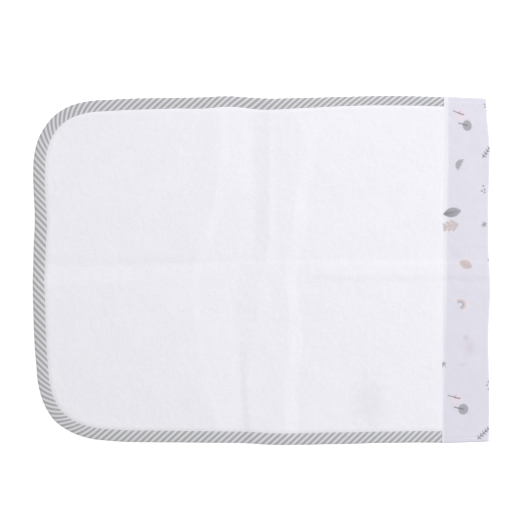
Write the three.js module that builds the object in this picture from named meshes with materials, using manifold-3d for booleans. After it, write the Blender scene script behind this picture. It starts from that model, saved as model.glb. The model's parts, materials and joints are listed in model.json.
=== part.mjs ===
// Baby towel: a thick terry panel bound on three sides with a folded striped strip, its fourth
// edge closed in a wide folded band of printed cotton, every seam sewn with a thread on each
// face. The towel lies flat with its front up. X runs from the free end to the band, Y across,
// and Z up from the surface that it lies on. Millimetres.
//
// The towel folds in half across a crease at X = 0, front face inwards, so the pieces that
// cross the crease are made in two halves: one half carries the band, the other is the free end.

import * as THREE from 'three';
import { mergeVertices } from 'three/addons/utils/BufferGeometryUtils.js';
import Module from 'manifold-3d';

const wasm = await Module();
wasm.setup();

// Driving dimensions
const towelLength = 1000;
const towelWidth = 760;
const terryThickness = 5.6; // over the pile of both faces
const pressedTerry = 1.6; // terry squeezed flat inside the binding
const cornerRadius = 148; // outer edge of the two rounded corners at the free end
const bindingWidth = 25; // what shows of the folded strip on each face
const bindingLeaf = 0.4; // cloth of the strip, its raw edge turned under
const bindingTail = 15; // length of the strip tucked into the band
const bandWidth = 98;
const bandLeaf = 0.4;
const threadWidth = 0.5;
const threadThickness = 0.25;
const bindingSeamInset = 2; // from the inner edge of the binding to its thread
const bandSeamInset = 2.5; // from the band's open edge to its thread
const bandEndSeamInset = 10; // from the band's closed ends to their threads
const creaseGap = 0.6; // between the two halves, over the crease
const clearance = 0.3; // between pieces that touch
const arcSegments = 20; // facets of one rounded corner

// Sizes that follow
const bindingHollow = pressedTerry + 2 * clearance;
const bindingThickness = bindingHollow + 2 * bindingLeaf;
const bandHollow = bindingThickness + 2 * clearance;
const bandThickness = bandHollow + 2 * bandLeaf;
const threadStack = 2 * (clearance + threadThickness);
const midHeight = Math.max(terryThickness, bandThickness + threadStack) / 2;
const freeX = -towelLength / 2;
const bandX = towelLength / 2 - bandWidth; // open edge of the band
const tailX = bandX + bindingTail;
const boundWidth = towelWidth - 2 * (bandLeaf + clearance); // the band's ends wrap the binding
const beyond = towelLength; // a reach past every edge, for cutting

const colours = {
  terry: { color: 0xf2f1f6, roughness: 1.0, metalness: 0 },
  binding: { color: 0xbcbec4, roughness: 0.9, metalness: 0 },
  band: { color: 0xe2e1e9, roughness: 0.85, metalness: 0 },
  thread: { color: 0xeeeef2, roughness: 0.6, metalness: 0 },
};

// A closed geometry as a solid, its shared corners merged.
function solidOf(geometry) {
  geometry.deleteAttribute('normal');
  geometry.deleteAttribute('uv');
  const merged = mergeVertices(geometry);
  const vertProperties = new Float32Array(merged.attributes.position.array);
  const triVerts = new Uint32Array(merged.index.array);
  return new wasm.Manifold(new wasm.Mesh({ numProp: 3, vertProperties, triVerts }));
}

function geometryOf(solid) {
  const mesh = solid.getMesh();
  const geometry = new THREE.BufferGeometry();
  geometry.setAttribute('position', new THREE.BufferAttribute(mesh.vertProperties, 3));
  geometry.setIndex(new THREE.BufferAttribute(mesh.triVerts, 1));
  geometry.computeVertexNormals();
  return geometry;
}

// The bound edge drawn in by an inset: rounded at the free end, square at endX.
function boundOutline(inset, endX) {
  const sideY = boundWidth / 2 - inset;
  const radius = cornerRadius - inset;
  const arcX = freeX + cornerRadius;
  const arcY = sideY - radius;
  const outline = new THREE.Shape();
  outline.moveTo(endX, -sideY);
  outline.lineTo(endX, sideY);
  outline.absarc(arcX, arcY, radius, Math.PI / 2, Math.PI, false);
  outline.absarc(arcX, -arcY, radius, Math.PI, 1.5 * Math.PI, false);
  return outline;
}

// A sheet with the given outline, its middle at a height from the mid-plane of the towel.
function plate(outline, thickness, height = 0) {
  const options = { depth: thickness, bevelEnabled: false, curveSegments: arcSegments };
  const geometry = new THREE.ExtrudeGeometry(outline, options);
  geometry.translate(0, 0, height - thickness / 2);
  return solidOf(geometry);
}

function block(lowX, highX, lowY, highY, thickness, height = 0) {
  const geometry = new THREE.BoxGeometry(highX - lowX, highY - lowY, thickness);
  geometry.translate((lowX + highX) / 2, (lowY + highY) / 2, height);
  return solidOf(geometry);
}

// The parts of the towel that lie on each side of the crease, for cutting a piece in two.
function bandSide(lowY = -beyond, highY = beyond) {
  return block(creaseGap / 2, beyond, lowY, highY, beyond);
}

function freeSide() {
  return block(-beyond, -creaseGap / 2, -beyond, beyond, beyond);
}

// Terry: full pile in the field, squeezed thin inside the binding and the band.
function terryPanel() {
  const field = plate(boundOutline(bindingWidth + clearance, bandX - clearance), terryThickness);
  const inBinding = plate(boundOutline(bindingLeaf + clearance, tailX + clearance), pressedTerry);
  const fillingX = bandX - 2 * clearance;
  const fillingEndX = towelLength / 2 - bandLeaf - clearance;
  const betweenTails = boundWidth / 2 - bindingWidth - clearance;
  const fillingThickness = bandHollow - 2 * clearance;
  const narrow = block(fillingX, fillingEndX, -betweenTails, betweenTails, fillingThickness);
  const wideX = tailX + clearance;
  const wide = block(wideX, fillingEndX, -boundWidth / 2, boundWidth / 2, fillingThickness);
  return field.add(inBinding).add(narrow).add(wide);
}

// Binding: a strip folded over the edge, open towards the terry and at both tails.
function binding() {
  const folded = plate(boundOutline(0, tailX), bindingThickness);
  const insideEdge = plate(boundOutline(bindingWidth, beyond), beyond);
  const hollow = plate(boundOutline(bindingLeaf, beyond), bindingHollow);
  return folded.subtract(insideEdge).subtract(hollow);
}

// Band: a wide strip folded over the square end, its two ends turned in and closed.
function band() {
  const endX = towelLength / 2;
  const halfWidth = towelWidth / 2;
  const folded = block(bandX, endX, -halfWidth, halfWidth, bandThickness);
  const innerY = halfWidth - bandLeaf;
  const hollow = block(bandX - 1, endX - bandLeaf, -innerY, innerY, bandHollow);
  return folded.subtract(hollow);
}

// A thread lies on cloth of the given thickness, on the front (face 1) or the back (face -1).
function threadHeight(clothThickness, face) {
  return face * (clothThickness / 2 + clearance + threadThickness / 2);
}

function bindingThread(face) {
  const height = threadHeight(bindingThickness, face);
  const inset = bindingWidth - bindingSeamInset;
  const outer = plate(boundOutline(inset - threadWidth / 2, bandX - clearance), threadThickness, height);
  const inner = plate(boundOutline(inset + threadWidth / 2, beyond), beyond);
  return outer.subtract(inner);
}

function bandSeamThread(face) {
  const height = threadHeight(bandThickness, face);
  const lowX = bandX + bandSeamInset - threadWidth / 2;
  const reachY = towelWidth / 2 - clearance;
  return block(lowX, lowX + threadWidth, -reachY, reachY, threadThickness, height);
}

// side is 1 for the band's end at +Y and -1 for the one at -Y.
function bandEndThread(side, face) {
  const height = threadHeight(bandThickness, face);
  const lowX = bandX + bandSeamInset + threadWidth / 2 + clearance;
  const highX = towelLength / 2 - clearance;
  const lowY = side * (towelWidth / 2 - bandEndSeamInset) - threadWidth / 2;
  return block(lowX, highX, lowY, lowY + threadWidth, threadThickness, height);
}

function addPiece(group, name, solid, look) {
  const mesh = new THREE.Mesh(geometryOf(solid), new THREE.MeshStandardMaterial(colours[look]));
  mesh.name = name;
  group.add(mesh);
}

const towel = new THREE.Group();
const bandHalf = new THREE.Group();
const freeHalf = new THREE.Group();
towel.add(bandHalf, freeHalf);
towel.position.z = midHeight;

const sideA = bandSide(0, beyond);
const sideB = bandSide(-beyond, 0);

addPiece(bandHalf, 'terry_panel_band_half', terryPanel().intersect(bandSide()), 'terry');
addPiece(freeHalf, 'terry_panel_free_half', terryPanel().intersect(freeSide()), 'terry');
addPiece(bandHalf, 'striped_binding_side_a', binding().intersect(sideA), 'binding');
addPiece(bandHalf, 'striped_binding_side_b', binding().intersect(sideB), 'binding');
addPiece(freeHalf, 'striped_binding_free_end', binding().intersect(freeSide()), 'binding');
addPiece(bandHalf, 'printed_band', band(), 'band');

for (const [faceName, face] of [['front', 1], ['back', -1]]) {
  const sewn = bindingThread(face);
  addPiece(bandHalf, `binding_thread_${faceName}_side_a`, sewn.intersect(sideA), 'thread');
  addPiece(bandHalf, `binding_thread_${faceName}_side_b`, sewn.intersect(sideB), 'thread');
  addPiece(freeHalf, `binding_thread_${faceName}_free_end`, sewn.intersect(freeSide()), 'thread');
  addPiece(bandHalf, `band_seam_thread_${faceName}`, bandSeamThread(face), 'thread');
  addPiece(bandHalf, `band_end_thread_${faceName}_side_a`, bandEndThread(1, face), 'thread');
  addPiece(bandHalf, `band_end_thread_${faceName}_side_b`, bandEndThread(-1, face), 'thread');
}

export default towel;
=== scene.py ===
"""A baby towel laid flat: looped terry, a striped folded binding on three edges and a printed band
on the fourth, each sewn down with rows of stitches. Every piece is worked out on the flat cloth and
then laid with the same creases and pulls, so that cloth, stripes and stitches stay together."""

import json

import bmesh
import bpy
import numpy as np
from bpy.props import FloatProperty, FloatVectorProperty, PointerProperty
from bpy.types import Operator, Panel, PropertyGroup
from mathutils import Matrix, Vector

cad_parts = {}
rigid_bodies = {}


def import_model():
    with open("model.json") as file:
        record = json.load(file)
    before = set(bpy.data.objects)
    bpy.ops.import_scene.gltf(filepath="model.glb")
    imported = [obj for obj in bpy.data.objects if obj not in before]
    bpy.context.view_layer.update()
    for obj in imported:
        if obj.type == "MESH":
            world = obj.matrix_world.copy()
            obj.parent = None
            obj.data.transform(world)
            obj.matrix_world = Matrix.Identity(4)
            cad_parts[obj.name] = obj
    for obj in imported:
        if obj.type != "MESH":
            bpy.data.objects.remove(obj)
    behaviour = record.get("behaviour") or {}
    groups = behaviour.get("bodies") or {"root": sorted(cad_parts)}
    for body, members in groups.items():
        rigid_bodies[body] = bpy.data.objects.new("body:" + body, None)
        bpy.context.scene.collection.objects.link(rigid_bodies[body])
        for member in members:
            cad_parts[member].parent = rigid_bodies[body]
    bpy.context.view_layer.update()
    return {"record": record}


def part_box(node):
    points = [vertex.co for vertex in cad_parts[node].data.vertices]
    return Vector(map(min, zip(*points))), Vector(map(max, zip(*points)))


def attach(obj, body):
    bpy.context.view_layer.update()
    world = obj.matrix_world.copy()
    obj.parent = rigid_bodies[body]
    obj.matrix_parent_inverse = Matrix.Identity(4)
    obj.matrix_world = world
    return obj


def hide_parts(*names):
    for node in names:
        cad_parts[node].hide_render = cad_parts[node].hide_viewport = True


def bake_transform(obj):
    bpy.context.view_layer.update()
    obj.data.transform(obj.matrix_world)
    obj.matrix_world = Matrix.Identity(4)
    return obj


bl_info = {
    "name": "Baby Towel",
    "version": (1, 0, 0),
    "blender": (4, 5, 0),
    "location": "View3D > Sidebar > Baby Towel",
    "description": "Builds a terry baby towel with a striped binding and a printed band",
    "category": "Add Mesh",
}

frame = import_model()

# Places and sizes read from the frame, in metres
BAND_LOW, BAND_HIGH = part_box("printed_band")
SIDE_LOW, SIDE_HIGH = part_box("striped_binding_side_a")
TERRY_LOW, TERRY_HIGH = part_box("terry_panel_free_half")
FREE_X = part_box("striped_binding_free_end")[0][0]
BINDING_RUNS = ("side_a", "side_b", "free_end")
BAND_X, END_X = BAND_LOW[0], BAND_HIGH[0]
BAND_WIDTH = END_X - BAND_X
BAND_REACH = BAND_HIGH[1]
TAIL_X = SIDE_HIGH[0]
HALF_Y = SIDE_HIGH[1]
BINDING_WIDTH = SIDE_HIGH[1] - SIDE_LOW[1]
MID = (TERRY_LOW[2] + TERRY_HIGH[2]) / 2
TERRY_HALF = (TERRY_HIGH[2] - TERRY_LOW[2]) / 2
BINDING_HALF = (SIDE_HIGH[2] - SIDE_LOW[2]) / 2
BAND_HALF = (BAND_HIGH[2] - BAND_LOW[2]) / 2
FOLD = frame["record"]["behaviour"]["joints"][0]

MM = 0.001
NOISE_SIZE = 256  # values each way in the noise table

# Sewing, in metres
CLOTH = 0.0004  # thickness of the two cottons
SEAM_INSET = 0.0022  # from a folded strip's open edge in to its seam
END_SEAM = 0.010  # from the band's closed ends in to their seams
ON_CLOTH = 0.0001  # from the cloth up to the middle of a stitch
FOLD_INSETS = (0.0035, 0.0022, 0.0012, 0.0004)  # of the points round a strip's fold
PRESSED_TERRY = 0.0013  # half the terry's thickness at a strip's open edge

# Bell-shaped pulls of the cloth in its plane: centre x, y, reach x, y and move x, y, in mm
PULLS = (
    (-88, 380, 55, 150, 0, 2.4),
    (15, 380, 45, 150, 0, -2.5),
    (284, 380, 95, 150, 0, 2.6),
    (-360, 380, 80, 120, 0, -5.0),
    (70, -380, 60, 150, 0, -3.5),
    (190, -380, 70, 120, 0, -3.5),
    (10, -380, 40, 120, 0, -2.5),
    (-370, -380, 50, 100, 0, 2.0),
    (-470, -315, 60, 60, -2.2, -2.2),
    (-500, 120, 150, 60, 3.2, 0),
    (-500, -20, 150, 90, 1.0, 0),
    (-500, -290, 130, 95, 11.5, 0),
    (-500, 255, 80, 40, 1.5, 0),
    (-430, -380, 110, 110, 2.0, 5.0),
    (395, 130, 60, 150, -2.5, 0),
    (395, -380, 60, 330, -4.5, 0),
    (395, -120, 60, 130, -2.2, 0),
    (500, 380, 60, 70, -5.0, -3.5),
    (500, 255, 60, 70, 3.0, 0),
    (500, -40, 60, 60, 4.0, 0),
    (500, -300, 60, 90, 2.5, 0),
    (500, -380, 70, 100, 0, 4.5),
)

MOVES_REACH = 0.07  # metres in which the moves of the bound edges fade out in the terry
# How far the bound edges come inwards: places along the side, then the moves there at the outer
# edge and at the binding's open edge, in mm. Where the second is larger, the binding looks wider.
FREE_END_MOVES = (
    (-380, -314, -266, -203, -144, -84, -25, 34, 94, 152, 211, 269, 314, 380),
    (0, 1.4, 2.5, 4.0, 3.5, 2.4, 0.7, 1.8, 3.0, 2.0, 1.5, 1.7, 0, 0),
    (0, 2.3, 3.0, 4.5, 4.7, 3.6, 0.9, 3.4, 4.8, 2.0, 2.3, 2.6, 2.3, 0),
)
SIDE_A_MOVES = (
    (-460, -432, -389, -300, -242, -182, -122, -63, -4, 55, 114, 174, 233, 291, 350, 400, 430),
    (0, 0.1, 2.3, 1.2, 2.2, 1.7, 2.3, 0.3, 0.5, 2.0, 1.5, 0, 0, 0, 0, 0, 0),
    (0, 1.1, 2.9, 1.4, 1.9, 0.7, 2.7, -1.7, 1.1, 0.9, -1.3, -4.1, -4.5, -3.6, -4.2, -3.5, 0),
)
SIDE_B_MOVES = (
    (-470, -432, -389, -300, -242, -182, -122, -63, -4, 55, 114, 174, 233, 291, 350, 400, 430),
    (0, 2.1, 2.6, 1.6, 2.1, 1.9, 1.4, 0.9, 1.5, 0.6, -0.1, 1.6, 2.4, 1.1, 1.4, 0.5, 0),
    (0, 2.7, 3.4, 2.3, 2.7, 2.5, 1.7, 0.9, 2.0, 0.4, 0.5, 2.2, 2.2, 0.9, 1.5, 0.8, 0),
)

# Folding creases. At each station, a place along the creases, the cloth goes straight from knot
# to knot across them: the places of the knots, then their heights, in mm. It is level past the
# two ends.
ENDS_ALONG_Y = (-440, 218)
CREASES_ALONG_Y = (
    (-364, (-87, -71, -52, -41, -34, -21, 8, 58, 84), (2.8, 1.9, 1.4, 1.1, 1.1, 2.3, 2.2, 2.7, 0.4)),
    (-252, (-122, -109, -65, -49, -43, -30, 3, 49, 80), (4.1, 3.5, 1.8, 1.1, 1.1, 2.9, 2.5, 3, 0.3)),
    (-180, (-135, -120, -69, -54, -43, -30, 21, 65, 91), (3.7, 3.1, 1.6, 0.9, 0.9, 2.2, 2.2, 2.7, 0.3)),
    (-136, (-141, -126, -69, -54, -49, -5, 25, 67, 93), (3.4, 2.8, 1.4, 0.7, 0.7, 2.3, 2, 2.5, 0.3)),
    (-39, (-152, -135, -76, -54, -49, -5, 25, 56, 80), (1.8, 1.2, 1.1, 0.7, 0.7, 2.5, 1.8, 2.3, 0.3)),
    (18, (-146, -126, -67, -45, -23, 10, 36, 60, 82), (2.3, 1.1, 1, 0.9, 0.7, 2.6, 1.6, 1.8, 0.6)),
    (70, (-122, -104, -49, -32, -12, 19, 36, 71, 100), (4, 2.7, 1.9, 1.4, 1.1, 3.6, 2.5, 2.6, 0.5)),
    (164, (-98, -80, -38, -23, -10, 19, 34, 76, 102), (4.9, 3.8, 2.4, 1.8, 1.6, 4, 3.2, 3.3, 0.6)),
    (263, (-87, -71, -38, -23, -12, 19, 32, 100, 126), (4.8, 3.7, 2.6, 1.8, 1.6, 3.4, 2.8, 2.9, 0.7)),
    (316, (-89, -73, -45, -27, -16, 21, 34, 87, 137), (4.7, 3.4, 2.6, 1.8, 1.6, 3.3, 3.1, 3.2, 0.6)),
    (364, (-89, -73, -49, -32, -19, 21, 34, 60, 144), (3.4, 2.5, 1.9, 1.4, 1.3, 2.6, 2.3, 2.4, 0.5)),
)
ENDS_ALONG_X = (-338, 329)
CREASES_ALONG_X = (
    (-462, (-66, -35, -9, 13, 33), (3.4, 3.6, 1.8, 0.3, 1.1)),
    (-352, (-57, -29, -11, 9, 29), (2.9, 3.2, 1.7, 0.3, 1.1)),
    (-177, (-44, -15, 0, 13, 29), (1.8, 2, 1.2, 0.3, 0.9)),
    (-56, (-44, 0, 13, 22, 31), (0.9, 0.9, 0.7, 0.1, 0.3)),
    (98, (-29, -11, 11, 23, 31), (0.9, 1.1, 1, 0.1, 0.1)),
    (141, (-24, -12, 11, 23, 31), (1.1, 2.2, 1.5, 0.1, 0.1)),
    (499, (-24, -12, 11, 23, 31), (1.1, 2, 1.2, 0.1, 0.1)),
)

# Slow rises of the cloth: their mean height and the size of their waves, in metres, and a seed
ROLLS = ((0.00035, 0.085, 11), (0.00012, 0.03, 12))
EDGE_ROLL = (0.0006, 0.07, 13)
EDGE_ROLL_REACH = 0.03


# Sizes and colours that a user would change


def length_property(name, description, default):
    return FloatProperty(name=name, description=description, default=default, unit="LENGTH")


class TowelSizes(PropertyGroup):
    corner_radius: length_property("Corner radius", "Outer radius of the two rounded corners", 0.148)
    loop_pitch: length_property("Loop pitch", "Distance between the loops of the terry", 0.0019)
    pile_unevenness: length_property("Pile unevenness", "How far the pile rises and falls", 0.0002)
    stripe_pitch: length_property("Stripe pitch", "Distance between stripes along the edge", 0.0147)
    stripe_slant: FloatProperty(
        name="Stripe slant",
        description="How far a stripe runs along the edge for each unit across the binding",
        default=1.1,
    )
    stitch_pitch: length_property("Stitch pitch", "Distance from one stitch to the next", 0.0036)
    thread_radius: length_property("Thread radius", "Radius of the sewing thread", 0.00024)
    allowance: length_property("Seam allowance", "Width of the band's turned-under edges", 0.0095)


def colour_property(name, description, default):
    return FloatVectorProperty(
        name=name, description=description, default=default, subtype="COLOR", size=3, min=0, max=1
    )


class TowelColours(PropertyGroup):
    terry: colour_property("Terry", "Tops of the cotton loops", (0.742, 0.734, 0.778))
    stripe_light: colour_property("Light stripe", "Light stripe", (0.577, 0.579, 0.602))
    stripe_dark: colour_property("Dark stripe", "Dark stripe", (0.322, 0.322, 0.336))
    band: colour_property("Band", "Ground of the printed cotton", (0.596, 0.585, 0.656))
    # The band's doubled strip by its open edge, painted lighter: partly painted light on that edge,
    # raised over the terry
    lit_doubled_strip: colour_property("Doubled cotton", "Band where it is turned under", (0.725, 0.718, 0.768))
    ink_grey: colour_property("Grey ink", "Round trees and leaves", (0.325, 0.315, 0.345))
    ink_dark: colour_property("Dark ink", "Stems, ribs, twigs and dots", (0.13, 0.12, 0.135))
    ink_taupe: colour_property("Taupe ink", "Leaves", (0.44, 0.375, 0.345))
    ink_lilac: colour_property("Lilac ink", "Faint lilac of the print", (0.58, 0.52, 0.62))
    ink_pink: colour_property("Pink ink", "Pale foliage", (0.74, 0.60, 0.64))
    thread: colour_property("Thread", "Sewing thread", (0.80, 0.795, 0.84))
    floor: colour_property("Floor", "Plain pale floor", (0.93, 0.93, 0.93))


def sizes():
    return bpy.context.scene.towel_sizes


def colours():
    return bpy.context.scene.towel_colours


# Shapes


def smooth(t):
    """The smooth step: t held between 0 and 1, then three t squared less two t cubed."""
    t = np.clip(t, 0, 1)
    return t * t * (3 - 2 * t)


def bell(distance, reach):
    """One at the middle, falling off with the square of distance over reach."""
    return np.exp(-((distance / reach) ** 2))


def unevenness(x, y, cell, seed):
    """Seeded random values from -1 to 1 at the corners of square cells, blended across each cell by
    the smooth step."""
    values = np.random.default_rng(seed).uniform(-1, 1, (NOISE_SIZE, NOISE_SIZE))
    u, v = x / cell, y / cell
    i, j = np.floor(u).astype(int), np.floor(v).astype(int)
    s, t = smooth(u - i), smooth(v - j)

    def corner(row, column):
        return values[row % NOISE_SIZE, column % NOISE_SIZE]

    near = corner(i, j) * (1 - s) + corner(i + 1, j) * s
    far = corner(i, j + 1) * (1 - s) + corner(i + 1, j + 1) * s
    return near * (1 - t) + far * t


def rise(x, y, mean, cell, seed):
    """An uneven rise of the cloth about its mean, never below zero."""
    return mean * (1 + unevenness(x, y, cell, seed))


def creases(along, across, stations, ends):
    """Height of a run of creases: straight from knot to knot across it, where the places and the
    heights of the knots run straight from station to station along it."""
    at, places, heights = zip(*stations)
    at = np.array(at) * MM
    places = np.array([(ends[0], *row, ends[1]) for row in places]) * MM
    heights = np.array([(0, *row, 0) for row in heights]) * MM
    place = [np.interp(along, at, column) for column in places.T]
    height = [np.interp(along, at, column) for column in heights.T]
    lift = np.zeros_like(across)
    for start, end, low, high in zip(place, place[1:], height, height[1:]):
        t = (across - start) / (end - start)
        lift = np.where((t >= 0) & (t < 1), low + (high - low) * t, lift)
    return lift


def inset_of(x, y):
    """Distance in from the bound edge: from the nearest side or the free end, or in a rounded
    corner the radius less the distance from the corner's centre."""
    radius = sizes().corner_radius
    past_x = FREE_X + radius - x
    past_y = np.abs(y) - (HALF_Y - radius)
    in_corner = (past_x > 0) & (past_y > 0)
    from_corner = radius - np.hypot(past_x, past_y)
    return np.where(in_corner, from_corner, np.minimum(x - FREE_X, HALF_Y - np.abs(y)))


def edge_move(depth, along, moves):
    """How far a place comes inwards at a depth in from one side: straight from the outer edge's
    move to the open edge's across the binding, then fading by the smooth step in the terry."""
    at, outer, inner = np.array(moves) * MM
    outer, inner = np.interp(along, at, outer), np.interp(along, at, inner)
    across = np.clip(depth / BINDING_WIDTH, 0, 1)
    fade = 1 - smooth((depth - BINDING_WIDTH) / MOVES_REACH)
    return (outer + (inner - outer) * across) * fade


def lay(flat):
    """Points of the flat cloth where they come to lie: moved in the plane by the sum of the
    pulls, each a bell about its centre, and by the moves of the bound edges, and lifted by the
    creases, by two slow rolls and by one that fades exponentially in from the outer edges. The
    lift is never below zero, so nothing sinks under the floor."""
    x, y = flat[..., 0], flat[..., 1]
    laid = flat.copy()
    laid[..., 0] += edge_move(x - FREE_X, y, FREE_END_MOVES)
    laid[..., 1] += edge_move(HALF_Y + y, x, SIDE_B_MOVES) - edge_move(HALF_Y - y, x, SIDE_A_MOVES)
    for centre_x, centre_y, reach_x, reach_y, move_x, move_y in np.array(PULLS) * MM:
        share = bell(x - centre_x, reach_x) * bell(y - centre_y, reach_y)
        laid[..., 0] += move_x * share
        laid[..., 1] += move_y * share
    lift = creases(y, x, CREASES_ALONG_Y, ENDS_ALONG_Y) + creases(x, y, CREASES_ALONG_X, ENDS_ALONG_X)
    lift += sum(rise(x, y, *roll) for roll in ROLLS)
    edge = np.minimum(inset_of(x, y), END_X - x)
    lift += rise(x, y, *EDGE_ROLL) * np.exp(-np.maximum(edge, 0) / EDGE_ROLL_REACH)
    laid[..., 2] += lift
    return laid


def bound_edge(s):
    """Point and inward direction at length s round the bound edge: from one tail under the band
    down the side, round a quarter circle, across the free end, round a second quarter circle and
    back along the other side. Each point is the radius outward from a core line that stands still
    while the direction turns."""
    radius = sizes().corner_radius
    side, quarter, across, _ = edge_lengths()
    angle = np.clip((s - side) / radius, 0, np.pi / 2)
    angle = angle + np.clip((s - side - quarter - across) / radius, 0, np.pi / 2)
    inward = np.stack([np.sin(angle), -np.cos(angle)], -1)
    before = np.maximum(side - s, 0)
    after = np.maximum(s - side - 2 * quarter - across, 0)
    core_x = FREE_X + radius + before + after
    core_y = HALF_Y - radius - np.clip(s - side - quarter, 0, across)
    return np.stack([core_x, core_y], -1) - radius * inward, inward


def edge_lengths():
    """Lengths of a side, a rounded corner, the straight of the free end, and the whole edge."""
    radius = sizes().corner_radius
    side = TAIL_X - FREE_X - radius
    quarter = np.pi / 2 * radius
    across = 2 * (HALF_Y - radius)
    return side, quarter, across, 2 * side + 2 * quarter + across


def grid_faces(rows, columns, around=False):
    """Quads of a grid numbered row by row. around joins the last column to the first."""
    index = np.arange(rows * columns).reshape(rows, columns)
    beside = np.roll(index, -1, axis=1)
    last = columns if around else columns - 1
    corners = (index[:-1, :last], beside[:-1, :last], beside[1:, :last], index[1:, :last])
    return np.stack(corners, -1).reshape(-1, 4)


def new_piece(name, points, faces, material, uv):
    """A mesh object at the origin, its faces turned outwards, smooth, with one UV map in metres."""
    mesh = bpy.data.meshes.new(name)
    mesh.from_pydata(points.reshape(-1, 3).tolist(), [], faces)
    form = bmesh.new()
    form.from_mesh(mesh)
    bmesh.ops.recalc_face_normals(form, faces=form.faces)
    form.to_mesh(mesh)
    form.free()
    mesh.shade_smooth()
    mesh.materials.append(material)
    corner = np.empty(len(mesh.loops), np.int32)
    mesh.loops.foreach_get("vertex_index", corner)
    layer = mesh.uv_layers.new(name="ClothUV")
    layer.data.foreach_set("uv", uv.reshape(-1, 2)[corner].astype(np.float32).ravel())
    piece = bpy.data.objects.new(name, mesh)
    bpy.context.scene.collection.objects.link(piece)
    return piece


def spaced(*stretches):
    """Places along a line: each stretch is its end and the step in it, and they start at zero."""
    places = [np.zeros(1)]
    for end, step in stretches:
        start = places[-1][-1]
        count = max(1, round(abs(end - start) / step))
        places.append(np.linspace(start, end, count + 1)[1:])
    return np.concatenate(places)


def terry_plan():
    """Grid of x and y over the terry: the two sides and two ends blended as a Coons patch, the sum
    of the two straight blends less the blend of the corners. Its free corners are half-way round
    the rounded ones. Near the band its rows are straight, and two of them lie close on both sides
    of the band's open edge."""
    side, quarter, across, whole = edge_lengths()
    tucked = 0.001
    short_of_fold = 0.002
    corner_run, fine, coarse = 0.036, 0.0026, 0.00415
    reach = END_X - TAIL_X - short_of_fold
    half_way = side + quarter / 2
    run = half_way + reach
    field_end = run - (END_X - short_of_fold - BAND_X)
    along = spaced(
        (corner_run, fine),
        (field_end - 0.0123, coarse),
        (field_end - 0.0007, 0.002),
        (field_end + 0.0003, 0.0005),
        (field_end + 0.0043, 0.0016),
        (run, 0.012),
    )
    end_run = across + quarter
    over = spaced((corner_run, fine), (end_run - corner_run, coarse), (end_run, fine))

    def edge(s):
        point, inward = bound_edge(s)
        return point + tucked * inward

    side_a, side_b = edge(half_way - along), edge(whole - half_way + along)
    free_end = edge(whole - half_way - over)
    band_end = np.linspace(side_b[-1], side_a[-1], 2)
    straight_from = field_end - 0.03
    u = np.clip(along / straight_from, 0, 1)[:, None, None]
    v = (over / end_run)[None, :, None]
    sides = (1 - v) * side_b[:, None] + v * side_a[:, None]
    band_line = (1 - v) * band_end[0] + v * band_end[1]
    ends = (1 - u) * free_end[None, :] + u * band_line
    low = (1 - u) * side_b[0] + u * side_b[-1]
    high = (1 - u) * side_a[0] + u * side_a[-1]
    return sides + ends - ((1 - v) * low + v * high)


def terry_half(x, y):
    """Half the thickness of the terry: squeezed inside the binding and inside the band, and where
    it comes out of each, swelling by a quarter parabola to its full pile. The thinner of the two
    holds. Inside the binding it thins again to the rim."""

    def squeezed(gap, inside, tuck, at_edge, swell):
        free = at_edge + (TERRY_HALF - at_edge) * (1 - (1 - np.clip(gap / swell, 0, 1)) ** 2)
        return np.where(gap > 0, free, inside + (at_edge - inside) * smooth(gap / tuck + 1))

    inset = inset_of(x, y)
    rim = 0.0005 + 0.0003 * smooth(inset / 0.004)
    past_binding = inset - BINDING_WIDTH
    by_binding = squeezed(past_binding, rim, tuck=0.004, at_edge=PRESSED_TERRY, swell=0.008)
    by_band = squeezed(BAND_X - x, PRESSED_TERRY, tuck=0.0025, at_edge=0.0022, swell=0.022)
    return np.minimum(by_binding, by_band)


def make_terry(material):
    """Front and back grids over the same plan, each half the thickness from the middle and, where
    the pile stands free, uneven by seeded noise at two sizes, joined round the rim."""
    plan = terry_plan()
    rows, columns = plan.shape[:2]
    x, y = plan[..., 0], plan[..., 1]
    half = terry_half(x, y)
    free_from, free_over = 0.0021, 0.0006
    free_pile = smooth((half - free_from) / free_over) * sizes().pile_unevenness
    faces, grids, uvs = grid_faces(rows, columns), [], []
    for side, seed in ((1, 21), (-1, 31)):
        rough = unevenness(x, y, 0.0052, seed) + 0.6 * unevenness(x, y, 0.013, seed + 1)
        height = MID + side * (half + free_pile * rough)
        grids.append(lay(np.stack([x, y, height], -1)))
        uvs.append(np.stack([x, y + (1 - side)], -1))
    below = rows * columns
    index = np.arange(below).reshape(rows, columns)
    rim = np.concatenate([index[:-1, 0], index[-1, :-1], index[:0:-1, -1], index[0, :0:-1]])
    ahead = np.roll(rim, -1)
    walls = np.stack([rim + below, ahead + below, ahead, rim], -1)
    quads = np.concatenate([faces, faces[:, ::-1] + below, walls])
    points, uv = np.stack(grids), np.stack(uvs)
    points[1, ..., 2] = np.maximum(points[1, ..., 2], 0)
    return new_piece("terry_panel", points, quads.tolist(), material, uv)


def leaf_height(inset, width, half, fold_reach, swell):
    """Height of a folded strip's outer face over the middle: a quarter ellipse at the fold, then
    level with half a sine of swell up to the seam, and a dip, a bell, under the stitches."""
    seam = width - SEAM_INSET
    turn = np.sqrt(1 - (1 - np.clip(inset / fold_reach, 0, 1)) ** 2)
    body = swell * np.sin(np.pi * np.clip(inset / seam, 0, 1))
    dip, dip_reach = 0.00025, 0.0012
    return (half + body) * turn - dip * bell(inset - seam, dip_reach)


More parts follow.
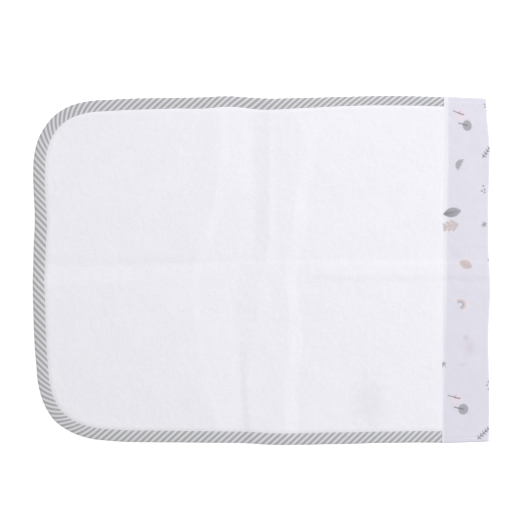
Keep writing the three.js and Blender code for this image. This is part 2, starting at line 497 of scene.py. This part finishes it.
def folded_strip(along, base, inward, front, back, lining, height_at):
    """A folded strip carried along a path: at each point of the path the profile runs over the
    front from its open edge to the fold, over the back to the other open edge, and returns inside
    one thickness of cloth in. front, back and lining are the insets at which each run has points.
    Near both ends of the path the inside closes to the middle. height_at gives the outer height
    for arrays of length along the path and of inset. Returns points, faces and, for each point,
    its places along and across the unfolded cloth."""
    width = front[0]
    across = np.concatenate([front, -back, -lining[::-1], lining])
    inner = np.zeros(len(across), bool)
    inner[len(front) + len(back) :] = True
    inset = np.abs(across)
    sections, count = len(base), len(across)
    height = np.sign(across) * height_at(along[:, None], np.broadcast_to(inset, (sections, count)))
    step = np.arange(sections)[:, None]
    from_end = np.minimum(step, sections - 1 - step)
    closing_steps, slit = 4, 0.04
    hollow = (1 - CLOTH / BINDING_HALF / 1.2) * np.clip(from_end / closing_steps + slit, 0, 1)
    height = np.where(inner, height * hollow, height)
    inset = np.where(inner, CLOTH + inset * (1 - CLOTH / width), inset)
    level = base[:, None] + inward[:, None] * inset[None, :, None]
    points = np.concatenate([level, (MID + height)[..., None]], -1)
    faces = grid_faces(sections, count, around=True).tolist()
    faces.append(list(range(count)))
    faces.append(list(range((sections - 1) * count, sections * count)))
    return points, faces, np.stack(np.broadcast_arrays(along[:, None], across), -1)


def binding_height(s, inset):
    """Outer height of the binding at length s and inset, with a slight seeded pucker away from
    the fold, and pressed to about half inside the band."""
    pucker = 0.00016 * unevenness(s, inset, 0.011, 41) * smooth(inset / 0.006)
    half = BINDING_HALF + 0.0001
    height = leaf_height(inset, BINDING_WIDTH, half, fold_reach=0.004, swell=0.00055) + pucker
    pressed_to = TAIL_X - BAND_X + 0.003
    from_end = np.minimum(s, edge_lengths()[3] - s)
    return height * (1 - 0.45 * smooth((pressed_to - from_end) / 0.004))


def make_binding(material):
    """A folded strip carried round the bound edge, with a section every 3 mm."""
    s = np.arange(0, edge_lengths()[3], 0.003)
    base, inward = bound_edge(s)
    front = np.concatenate([np.linspace(BINDING_WIDTH, 0.005, 15), FOLD_INSETS])
    back = np.concatenate([[0], front[::-1]])
    lining = np.linspace(CLOTH, BINDING_WIDTH, 5)
    points, faces, uv = folded_strip(s, base, inward, front, back, lining, binding_height)
    return new_piece("striped_binding", lay(points), faces, material, uv)


def band_height(y, inset):
    """Outer height of the band: closed to a thin edge at both ends by a quarter ellipse and a
    gentle taper, dipping under the end seams, with faint wrinkles away from its long edges."""
    from_end = BAND_REACH - np.abs(y)
    closing = np.sqrt(1 - (1 - np.clip(from_end / 0.003 + 0.06, 0, 1)) ** 2)
    closing *= 0.8 + 0.2 * smooth(from_end / 0.014)
    off_long_seam = 1 - bell(inset - BAND_WIDTH + SEAM_INSET, 0.003)
    dip = 0.00045 * bell(from_end - END_SEAM, 0.0014) * off_long_seam
    wrinkle = 0.00022 * unevenness(y, inset, 0.021, 51) + 0.00012 * unevenness(y, inset, 0.009, 52)
    wrinkle = wrinkle * smooth(inset / 0.01) * smooth((BAND_WIDTH - inset) / 0.01)
    height = leaf_height(inset, BAND_WIDTH, BAND_HALF, fold_reach=0.005, swell=0.0003) + wrinkle
    return (height - dip) * closing


def make_band(material):
    """A folded strip carried along the square end, with the print as a colour at each point."""
    y = np.linspace(-BAND_REACH, BAND_REACH, 610)
    base = np.stack([np.full_like(y, END_X), y], -1)
    inward = np.broadcast_to(np.array([-1.0, 0.0]), base.shape)
    front = np.linspace(BAND_WIDTH - 0.0002, 0.005, 80)
    front = np.concatenate([[BAND_WIDTH], front, FOLD_INSETS])
    back = np.concatenate([[0], FOLD_INSETS[::-1], np.linspace(0.005, BAND_WIDTH, 42)])
    lining = np.linspace(CLOTH, BAND_WIDTH, 7)
    points, faces, uv = folded_strip(y, base, inward, front, back, lining, band_height)
    piece = new_piece("printed_cotton_band", lay(points), faces, material, uv)
    ink = print_colours(BAND_WIDTH - np.abs(uv[..., 1]), uv[..., 0], uv[..., 1] < 0)
    layer = piece.data.attributes.new("printed_colour", "FLOAT_COLOR", "POINT")
    rgba = np.concatenate([ink, np.ones(ink.shape[:-1] + (1,))], -1)
    layer.data.foreach_set("color", rgba.astype(np.float32).ravel())
    return piece


# The print. Its drawings have their feet towards the band's open edge, so up is the distance
# from that edge and side is the place across the towel. A spot is both for every point of the
# band, and page lays a drawing down by its cover, ink and strength. All lengths are millimetres.
PRINT_REPEAT = 623
BACK_SLIP = 37  # how far the print on the back is moved along


def turned(spot, at, degrees):
    """Places about a point, turned so that the first runs at an angle from the print's up."""
    angle = np.radians(degrees)
    ahead, drift = spot[0] - at[0], spot[1] - at[1]
    cosine, sine = np.cos(angle), np.sin(angle)
    return ahead * cosine + drift * sine, drift * cosine - ahead * sine


def soft_edge(outside, softness=0.9):
    """Full inside an outline and none outside it, over a soft edge of ink bleed."""
    return smooth(0.5 - outside / (2 * softness))


def stroke(spot, start, end, width):
    """A brush line: the distance to the line between two points, less half the width."""
    run = np.subtract(end, start)
    ahead, drift = spot[0] - start[0], spot[1] - start[1]
    t = np.clip((ahead * run[0] + drift * run[1]) / (run @ run), 0, 1)
    gap = np.hypot(ahead - t * run[0], drift - t * run[1])
    return soft_edge(gap - width / 2)


def oval(spot, at, tall, wide):
    """An ellipse, its outline found by scaling both places by the half sizes."""
    scaled = np.hypot((spot[0] - at[0]) / tall, (spot[1] - at[1]) / wide)
    return soft_edge((scaled - 1) * min(tall, wide))


def blot(spot, at, tall, wide):
    """A blot: the product of two bells."""
    return bell(spot[0] - at[0], tall) * bell(spot[1] - at[1], wide)


def leaf(spot, at, degrees, length, width):
    """A leaf: its half width is a power of the sine of the place along it."""
    along, over = turned(spot, at, degrees)
    t = along / length
    half = width / 2 * np.sin(np.pi * np.clip(t, 0, 1)) ** 0.8
    return soft_edge(np.abs(over) - half) * ((t > 0) & (t < 1))


def fern(spot, at, degrees, lobes, thickness):
    """A lobed leaf: at each lobe's place along its rib two strokes run back and outward from it."""
    spot = turned(spot, at, degrees)
    cover = stroke(spot, (0, 0), (lobes[-1][0], 0), thickness * 0.6)
    for root, reach in lobes:
        for hand in (-1, 1):
            lobe = stroke(spot, (root, 0), (root - 1.05 * reach, hand * reach), thickness)
            cover = np.maximum(cover, lobe)
    return cover


def half_leaf(spot, at, degrees, length, width, teeth):
    """One half of a broad leaf: bowed by a root of a sine on one side of its rib, and toothed
    along the other by a sine without its sign."""
    along, over = turned(spot, at, degrees)
    over = -over
    t = along / length
    bow = width * np.sin(np.pi * np.clip(t, 0, 1)) ** 0.5
    bite = 0.3 * width * np.abs(np.sin(np.pi * teeth * t))
    inside = soft_edge(over - bow) * soft_edge(-over + bite - 0.1 * width)
    return inside * ((t > 0) & (t < 1))


def round_tree(page, spot, at, crown, foot):
    """An oval crown with its trunk drawn over it."""
    page(oval(spot, at, *crown), "grey", 0.96)
    page(stroke(spot, foot, at, 2.2), "dark", 0.95)


def pale_tree(page, spot, at, foot):
    """A thin trunk with two twigs in a crown of a pale ring about a soft middle."""
    distance = np.hypot((spot[0] - at[0] + 6) / 1.15, spot[1] - at[1])
    page(bell(distance, 8), "pink", 0.85)
    page(bell(distance, 11), "lilac", 0.3)
    page(soft_edge(np.abs(distance - 9.5) - 0.5, 1.2), "pink", 0.5)
    page(stroke(spot, foot, at, 1.9), "dark", 0.9)
    fork = np.add(foot, at) / 2
    for drift in (-4.0, 3.5):
        page(stroke(spot, fork, fork + np.array([4.5, drift]), 1.5), "dark", 0.6)
    page(stroke(spot, np.subtract(at, (4.0, -1.0)), at, 2.6), "dark", 0.6)


def sprig(page, spot, start, end, pairs):
    """A stem with pairs of needles that lean towards its tip."""
    page(stroke(spot, start, end, 1.5), "dark", 0.9)
    run = np.subtract(end, start)
    across = np.array([-run[1], run[0]])
    reach = min(4.5, 0.9 * np.hypot(*run) / pairs) / np.hypot(*run)
    for number in range(pairs):
        joint = start + run * (number + 0.4) / pairs
        for hand in (-1, 1):
            tip = joint + hand * across * reach + run * reach * 0.7
            page(stroke(spot, joint, tip, 2.0), "dark", 0.85)


def star(page, spot, at, reach):
    """Three strokes that cross at a point."""
    for degrees in (20, 70, 130):
        angle = np.radians(degrees)
        arm = reach * np.array([np.cos(angle), np.sin(angle)])
        page(stroke(spot, at - arm, at + 0.8 * arm, 1.7), "dark", 0.8)


def half_rings(page, spot, at, degrees, rings):
    """Soft half rings about a point, which open away from the given angle."""
    along, over = turned(spot, at, degrees)
    distance = np.hypot(along, over)
    upper = smooth((along + 3.5) / 3)
    for radius, width, ink, strength in rings:
        page(soft_edge(np.abs(distance - radius) - width / 2, 1.4) * upper, ink, strength)


def berries(page, spot, *places):
    for place in places:
        page(oval(spot, place, 1.9, 1.9), "dark", 0.8)


def draw_print(page, spot):
    """Every drawing, in the order in which it is laid down."""
    for foot, drift in ((2, 0), (-6, -PRINT_REPEAT)):
        pale_tree(page, spot, (42 + foot, 341 + drift), (19 + foot, 348 + drift))
        round_tree(page, spot, (49 + foot, 317 + drift), (10, 12), (31 + foot, 322 + drift))
    berries(page, spot, (93, 366), (94, 360), (98, 352))
    sprig(page, spot, (82, 246), (98, 269), 4)
    page(half_leaf(spot, (44, 241), -116, 26, 13, 4), "grey", 0.95)
    berries(page, spot, (85, 184), (88, 176), (82, 173), (88, 170))
    page(blot(spot, (66, 170), 5, 6), "pink", 0.3)
    cover = leaf(spot, (1, 122), 12, 39, 21)
    page(cover, "grey", 1.0)
    page(stroke(spot, (1, 122), (30.931317, 128.362098), 1.5), "dark", 0.7)
    page(cover * blot(spot, (8, 122), 16, 10), "dark", 0.4)
    page(blot(spot, (12, 94), 18, 14), "pink", 0.25)
    page(fern(spot, (0, 93), 12, ((9, 6), (20, 8), (31, 10)), 6.2), "taupe", 0.75)
    star(page, spot, (88, 100), 6.5)
    berries(page, spot, (96, 22))
    page(blot(spot, (48, 12), 13, 13), "pink", 0.5)
    page(leaf(spot, (35, 19), -28, 29, 19), "taupe", 0.75)
    page(stroke(spot, (40, 15), (54, 8), 2.5), "grey", 0.35)
    rings = ((13, 7, "pink", 0.42), (9, 7, "taupe", 0.6), (6, 2.8, "dark", 0.5))
    half_rings(page, spot, (36, -76), 25, rings)
    page(blot(spot, (55, -172), 9, 22), "lilac", 0.45)
    page(blot(spot, (59, -168), 8, 14), "taupe", 0.25)
    page(blot(spot, (49, -148), 5, 6), "grey", 0.35)
    page(blot(spot, (42, -207), 8, 4), "grey", 0.2)
    star(page, spot, (3, -206), 7)
    berries(page, spot, (95, -246), (92, -253), (95, -262), (98, -242))
    sprig(page, spot, (73, -374), (97, -350), 5)


def print_colours(from_edge, y, on_back):
    """Colour at each point of the band: the ground, painted lighter along the open edge where the cotton
    lies double over the terry, partly as painted light on that raised edge, then each drawing laid over
    it by its ink's cover.
    The back has the same print slipped along. The lighter strip is narrower and fainter towards low y."""
    ink = colours()
    slip = np.where(on_back, BACK_SLIP, 0)
    colour = np.broadcast_to(np.array(ink.band[:]), y.shape + (3,)).copy()
    blotch = 1 + 0.012 * unevenness(from_edge, y, 0.03, 61) + 0.008 * unevenness(from_edge, y, 0.004, 62)
    colour *= blotch[..., None]

    def lay_over(share, tone):
        colour[...] = colour * (1 - share[..., None]) + np.array(tone[:]) * share[..., None]

    def page(cover, name, strength):
        lay_over(cover * strength, getattr(ink, "ink_" + name))

    allowance = sizes().allowance + 0.0012 * unevenness(y, from_edge, 0.06, 63)
    allowance -= 0.005 * smooth(0.35 - y / 0.4)
    soft = 0.009
    # Painted light: the doubled strip by the open edge is painted lighter, partly for light on that
    # edge, raised over the terry inside
    lit_doubled_strip = 0.8 * (1 - smooth((from_edge - allowance + soft / 2) / soft))
    lit_doubled_strip *= 1 - 0.22 * smooth(0.3 - y / 0.4)
    lay_over(lit_doubled_strip, ink.lit_doubled_strip)
    draw_print(page, (from_edge * 1000, y * 1000 + slip))
    return colour


def stitches(name, centres, along, up, material):
    """Rows of stitches: each is a spindle of four rings of six points about its own line, thick
    in the middle, with both ends sunk into the cloth by the square of the place along it."""
    radius = sizes().thread_radius
    length = sizes().stitch_pitch * 0.84
    sunk = 0.0003
    place = np.array([-0.5, -0.32, 0.32, 0.5])
    girth = np.array([0.45, 1.0, 1.0, 0.45]) * radius
    angle = np.arange(6) * np.pi / 3
    beside = np.cross(up, along)
    ring = np.cos(angle)[:, None] * beside[:, None] + np.sin(angle)[:, None] * up[:, None]
    line = centres[:, None] + length * place[:, None] * along[:, None]
    line = line - sunk * (2 * place[:, None]) ** 2 * up[:, None]
    points = line[:, :, None] + girth[:, None, None] * ring[:, None]
    rings, around = len(place), len(angle)
    starts = rings * around * np.arange(len(centres))
    quads = grid_faces(rings, around, around=True)[None] + starts[:, None, None]
    first_ring = starts[:, None] + np.arange(around)
    ends = np.concatenate([first_ring, first_ring + (rings - 1) * around]).tolist()
    uv = np.stack(np.broadcast_arrays((place * length)[:, None], angle * radius), -1)
    uv = np.broadcast_to(uv, (len(centres), *uv.shape))
    return new_piece(name, points, quads.reshape(-1, 4).tolist() + ends, material, uv)


def sewn_line(flat, faces_up):
    """Middles, directions and ups of stitches along a line of flat points that lie one pitch
    apart, once the cloth is laid."""
    laid = lay(flat)
    along = np.diff(laid, axis=0)
    middle = laid[:-1] + along / 2
    along /= np.linalg.norm(along, axis=1)[:, None]
    up = np.zeros_like(along)
    up[:, 2] = faces_up
    return middle, along, up


def binding_seam(face):
    """The seam near the binding's open edge, as far as the band."""
    s = np.arange(0, edge_lengths()[3], sizes().stitch_pitch)
    base, inward = bound_edge(s)
    inset = BINDING_WIDTH - SEAM_INSET
    level = base + inward * inset
    height = MID + face * (binding_height(s, np.full_like(s, inset)) + ON_CLOTH)
    clear_of_band = 0.001
    shown = level[:, 0] < BAND_X - clear_of_band
    return sewn_line(np.concatenate([level, height[:, None]], -1)[shown], face)


def band_seam(face):
    """The seam near the band's open edge, from end to end."""
    last = BAND_REACH - 0.003
    y = np.arange(-last, last, sizes().stitch_pitch)
    inset = np.full_like(y, BAND_WIDTH - SEAM_INSET)
    height = MID + face * (band_height(y, inset) + ON_CLOTH)
    return sewn_line(np.stack([END_X - inset, y, height], -1), face)


def band_end_seam(face, side):
    """The short seam that closes one end of the band."""
    margin = 0.004
    inset = np.arange(margin, BAND_WIDTH - margin, sizes().stitch_pitch)
    y = np.full_like(inset, side * (BAND_REACH - END_SEAM))
    height = MID + face * (band_height(y, inset) + ON_CLOTH)
    return sewn_line(np.stack([END_X - inset, y, height], -1), face)


# Materials


def new_material(name, settings):
    """A material and its shader, with the shader's inputs set."""
    material = bpy.data.materials.new(name)
    material.use_nodes = True
    shader = material.node_tree.nodes["Principled BSDF"]
    for key, value in settings.items():
        shader.inputs[key].default_value = value
    return material, shader


class Finish:
    """A material under construction: its node tree and its cloth shader."""

    def __init__(self, name, roughness, sheen):
        settings = {
            "Roughness": roughness,
            "Sheen Weight": sheen,
            "Sheen Roughness": 0.6,
            "Specular IOR Level": 0.2,
        }
        self.material, self.shader = new_material(name, settings)
        self.tree = self.material.node_tree

    def node(self, kind, inputs=None, **settings):
        """A node with its settings, and its inputs set to values or linked to other outputs."""
        made = self.tree.nodes.new(kind)
        for key, value in settings.items():
            setattr(made, key, value)
        for key, value in (inputs or {}).items():
            if isinstance(value, bpy.types.NodeSocket):
                self.tree.links.new(value, made.inputs[key])
            else:
                made.inputs[key].default_value = value
        return made

    def maths(self, operation, first, second=0.0):
        return self.node("ShaderNodeMath", {0: first, 1: second}, operation=operation).outputs[0]

    def cloth_places(self):
        """The places along and across the cloth, in metres, from its own UV map."""
        uv = self.node("ShaderNodeUVMap", uv_map="ClothUV").outputs[0]
        split = self.node("ShaderNodeSeparateXYZ", {0: uv})
        return uv, split.outputs[0], split.outputs[1]

    def noise(self, where, scale, detail):
        inputs = {"Vector": where, "Scale": scale, "Detail": detail}
        return self.node("ShaderNodeTexNoise", inputs, noise_dimensions="2D").outputs[0]

    def distance(self, where, centre, reach):
        """Distance from a centre over the reach in each direction."""
        away = self.node("ShaderNodeVectorMath", {0: where, 1: (*centre, 0)}, operation="SUBTRACT")
        scaled = {0: away.outputs[0], 1: (*reach, 1)}
        counted = self.node("ShaderNodeVectorMath", scaled, operation="DIVIDE")
        length = self.node("ShaderNodeVectorMath", {0: counted.outputs[0]}, operation="LENGTH")
        return length.outputs["Value"]

    def mixed(self, share, first, second):
        """Two colours mixed. The node's colour inputs are numbers 6 and 7."""
        made = self.node("ShaderNodeMix", {0: share}, data_type="RGBA")
        for number, value in ((6, first), (7, second)):
            if isinstance(value, bpy.types.NodeSocket):
                self.tree.links.new(value, made.inputs[number])
            else:
                made.inputs[number].default_value = (*value[:3], 1)
        return made.outputs[2]

    def ranged(self, value, low, high, to_low, to_high):
        """The smooth step from to_low, where the value is low, to to_high, where it is high."""
        inputs = {0: value, 1: low, 2: high, 3: to_low, 4: to_high}
        return self.node("ShaderNodeMapRange", inputs, interpolation_type="SMOOTHSTEP").outputs[0]

    def bump(self, height, strength, distance, below=None):
        inputs = {"Height": height, "Strength": strength, "Distance": distance}
        if below is not None:
            inputs["Normal"] = below
        return self.node("ShaderNodeBump", inputs).outputs[0]

    def finish(self, colour, normal):
        self.tree.links.new(colour, self.shader.inputs["Base Color"])
        self.tree.links.new(normal, self.shader.inputs["Normal"])
        return self.material

    def weave(self, along, across, pitch):
        """Height of a plain weave: the product of two sines, one for each set of yarns."""
        turns = 2 * np.pi / pitch
        warp = self.maths("SINE", self.maths("MULTIPLY", along, turns))
        weft = self.maths("SINE", self.maths("MULTIPLY", across, turns))
        return self.maths("MULTIPLY", warp, weft)


def darker(colour, share):
    return tuple(channel * share for channel in colour[:3])


def terry_cloth():
    """Cotton loops: cells one loop across, painted bright at their tops with painted shade between, with
    slow clumps where the pile leans together, painted shade in their hollows, and one darker patch of
    painted shade."""
    look = Finish("white_terry", 0.95, 0.25)
    uv, _, _ = look.cloth_places()
    inputs = {"Vector": uv, "Scale": 1 / sizes().loop_pitch, "Randomness": 0.85}
    loops = look.node("ShaderNodeTexVoronoi", inputs, voronoi_dimensions="2D").outputs["Distance"]
    top = look.ranged(loops, 0.1, 0.75, 1.0, 0.0)
    clump = look.noise(uv, scale=95.0, detail=3.0)
    slow = look.noise(uv, scale=14.0, detail=2.0)
    base = colours().terry
    # Painted shade between the loops: the loop tops keep the base colour and the hollows between them
    # are painted darker
    lit = look.mixed(top, darker(base, 0.9), base)
    # Painted shade in the hollows of the clump bump: darker where the clump height is low
    lit = look.mixed(look.ranged(clump, 0.3, 0.7, 0.10, 0.0), lit, darker(base, 0.80))
    lit = look.mixed(look.ranged(slow, 0.35, 0.65, 0.10, 0.0), lit, darker(base, 0.84))
    ragged = look.maths("MULTIPLY", look.noise(uv, scale=60.0, detail=3.0), 0.9)
    # Painted shade: one darker patch of the terry, painted in to stand for shade on the cloth
    patch = look.distance(uv, centre=(0.237, -0.285), reach=(0.05, 0.09))
    from_painted_shade_patch = look.maths("ADD", patch, ragged)
    lit = look.mixed(look.ranged(from_painted_shade_patch, 0.5, 1.5, 0.17, 0.0), lit, darker(base, 0.6))
    coarse = look.bump(clump, strength=0.18, distance=0.0012)
    return look.finish(lit, look.bump(top, strength=0.22, distance=0.0011, below=coarse))


def striped_cotton():
    """Slanted stripes: the length less the slant times the distance across, counted in pitches,
    folded into a triangle wave and stepped softly between two yarn colours."""
    look = Finish("striped_cotton", 0.85, 0.1)
    uv, along, across = look.cloth_places()
    slipped = look.maths("SUBTRACT", along, look.maths("MULTIPLY", across, sizes().stripe_slant))
    counted = look.maths("DIVIDE", slipped, sizes().stripe_pitch)
    wave = look.maths("PINGPONG", counted, 0.5)
    stripe = look.ranged(wave, 0.19, 0.31, 0.0, 1.0)
    yarn = look.noise(uv, scale=900.0, detail=2.0)
    tone = colours()
    cloth = look.mixed(stripe, tone.stripe_light, tone.stripe_dark)
    cloth = look.mixed(look.ranged(yarn, 0.3, 0.7, 0.14, 0.0), cloth, darker(tone.stripe_dark, 0.9))
    weave = look.weave(along, across, pitch=0.0007)
    return look.finish(cloth, look.bump(weave, strength=0.35, distance=0.0002))


def printed_cotton():
    """The printed colour that the cloth carries at each point, over a fine plain weave."""
    look = Finish("printed_cotton", 0.82, 0.1)
    uv, along, across = look.cloth_places()
    printed = look.node("ShaderNodeAttribute", attribute_name="printed_colour").outputs["Color"]
    yarn = look.noise(uv, scale=1100.0, detail=2.0)
    cloth = look.mixed(look.ranged(yarn, 0.3, 0.7, 0.06, 0.0), printed, darker(colours().band, 0.7))
    weave = look.weave(along, across, pitch=0.0006)
    return look.finish(cloth, look.bump(weave, strength=0.3, distance=0.00018))


def cotton_thread():
    """Two plies: a wave that climbs round the thread as it runs along it, bumping it and painted darker
    in the grooves as painted shade.
    """
    look = Finish("sewing_thread", 0.6, 0.15)
    _, along, around = look.cloth_places()
    by_length = look.maths("MULTIPLY", along, 7000.0)
    by_turn = look.maths("MULTIPLY", around, 8000.0)
    ply = look.maths("SINE", look.maths("ADD", by_length, by_turn))
    tone = colours().thread
    # Painted shade: darker where the ply wave is low, in the grooves between the plies
    cloth = look.mixed(look.ranged(ply, -1.0, 1.0, 0.0, 1.0), darker(tone, 0.8), tone)
    return look.finish(cloth, look.bump(ply, strength=0.4, distance=0.0001))


def glowing(name, colour, glow):
    """A matt surface lit a little from within, so that soft shadows on it fade."""
    tone = (*colour[:3], 1)
    settings = {
        "Base Color": tone,
        "Roughness": 0.9,
        "Emission Color": tone,
        "Emission Strength": glow,
    }
    return new_material(name, settings)[0]


# Operators


def fold_across(piece):
    """The piece's placement is baked into its mesh."""
    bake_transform(piece)


class TOWEL_OT_terry(Operator):
    """Make the looped terry panel"""

    bl_idname = "towel.terry"
    bl_label = "Terry panel"

    def execute(self, context):
        piece = make_terry(terry_cloth())
        fold_across(piece)
        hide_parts("terry_panel_band_half", "terry_panel_free_half")
        return {"FINISHED"}


class TOWEL_OT_binding(Operator):
    """Make the striped strip folded over the two sides and the free end"""

    bl_idname = "towel.binding"
    bl_label = "Striped binding"

    def execute(self, context):
        piece = make_binding(striped_cotton())
        fold_across(piece)
        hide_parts(*(f"striped_binding_{run}" for run in BINDING_RUNS))
        return {"FINISHED"}


class TOWEL_OT_band(Operator):
    """Make the printed cotton band folded over the square end"""

    bl_idname = "towel.band"
    bl_label = "Printed band"

    def execute(self, context):
        piece = make_band(printed_cotton())
        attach(piece, FOLD["parent"])
        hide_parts("printed_band")
        return {"FINISHED"}


class TOWEL_OT_stitches(Operator):
    """Make the rows of stitches on both faces of every seam"""

    bl_idname = "towel.stitches"
    bl_label = "Stitches"

    def execute(self, context):
        thread = cotton_thread()
        for face_name, face in (("front", 1), ("back", -1)):
            row = stitches(f"binding_stitches_{face_name}", *binding_seam(face), thread)
            fold_across(row)
            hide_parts(*(f"binding_thread_{face_name}_{run}" for run in BINDING_RUNS))
            row = stitches(f"band_seam_stitches_{face_name}", *band_seam(face), thread)
            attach(row, FOLD["parent"])
            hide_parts(f"band_seam_thread_{face_name}")
            for side_name, side in (("side_a", 1), ("side_b", -1)):
                name = f"band_end_stitches_{face_name}_{side_name}"
                row = stitches(name, *band_end_seam(face, side), thread)
                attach(row, FOLD["parent"])
                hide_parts(f"band_end_thread_{face_name}_{side_name}")
        return {"FINISHED"}


def area_light(name, place, energy, size):
    """A square light that faces the middle of the towel."""
    lamp = bpy.data.lights.new(name, "AREA")
    lamp.energy = energy
    lamp.size = size
    holder = bpy.data.objects.new(name, lamp)
    holder.location = place
    holder.rotation_euler = (-Vector(place)).to_track_quat("-Z", "Y").to_euler()
    bpy.context.scene.collection.objects.link(holder)


class TOWEL_OT_stage(Operator):
    """Make the floor, the soft light and the camera straight above"""

    bl_idname = "towel.stage"
    bl_label = "Stage"

    def execute(self, context):
        scene = context.scene
        bpy.ops.mesh.primitive_plane_add(size=16, location=(0, 0, -0.0002))
        floor = context.object
        floor.name = "floor"
        floor.data.materials.append(glowing("floor", colours().floor, glow=0.5))
        world = bpy.data.worlds.new("soft_room")
        world.use_nodes = True
        sky = world.node_tree.nodes["Background"]
        sky.inputs["Color"].default_value = (1, 1, 1, 1)
        sky.inputs["Strength"].default_value = 0.64
        scene.world = world
        area_light("window", place=(4.54, 3.57, 5.64), energy=568, size=2.75)
        camera = bpy.data.objects.new("camera", bpy.data.cameras.new("camera"))
        height = 3.0
        view_width = 1.1404
        camera.data.lens = camera.data.sensor_width * height / view_width
        camera.location = (-0.0011, 0.0219, height)
        scene.collection.objects.link(camera)
        scene.camera = camera
        scene.view_settings.view_transform = "Standard"
        return {"FINISHED"}


class TOWEL_PT_panel(Panel):
    bl_label = "Baby Towel"
    bl_idname = "TOWEL_PT_panel"
    bl_space_type = "VIEW_3D"
    bl_region_type = "UI"
    bl_category = "Baby Towel"

    def draw(self, context):
        for group in (sizes(), colours()):
            column = self.layout.column(align=True)
            for name in group.__annotations__:
                column.prop(group, name)
        for operator in OPERATORS:
            self.layout.operator(operator.bl_idname)


OPERATORS = (TOWEL_OT_stage, TOWEL_OT_terry, TOWEL_OT_binding, TOWEL_OT_band, TOWEL_OT_stitches)
CLASSES = (TowelSizes, TowelColours, *OPERATORS, TOWEL_PT_panel)


def register():
    for each in CLASSES:
        bpy.utils.register_class(each)
    bpy.types.Scene.towel_sizes = PointerProperty(type=TowelSizes)
    bpy.types.Scene.towel_colours = PointerProperty(type=TowelColours)


def unregister():
    del bpy.types.Scene.towel_colours
    del bpy.types.Scene.towel_sizes
    for each in reversed(CLASSES):
        bpy.utils.unregister_class(each)


def main():
    register()
    bpy.ops.towel.stage()
    bpy.ops.towel.terry()
    bpy.ops.towel.binding()
    bpy.ops.towel.band()
    bpy.ops.towel.stitches()


if __name__ == "__main__":
    main()
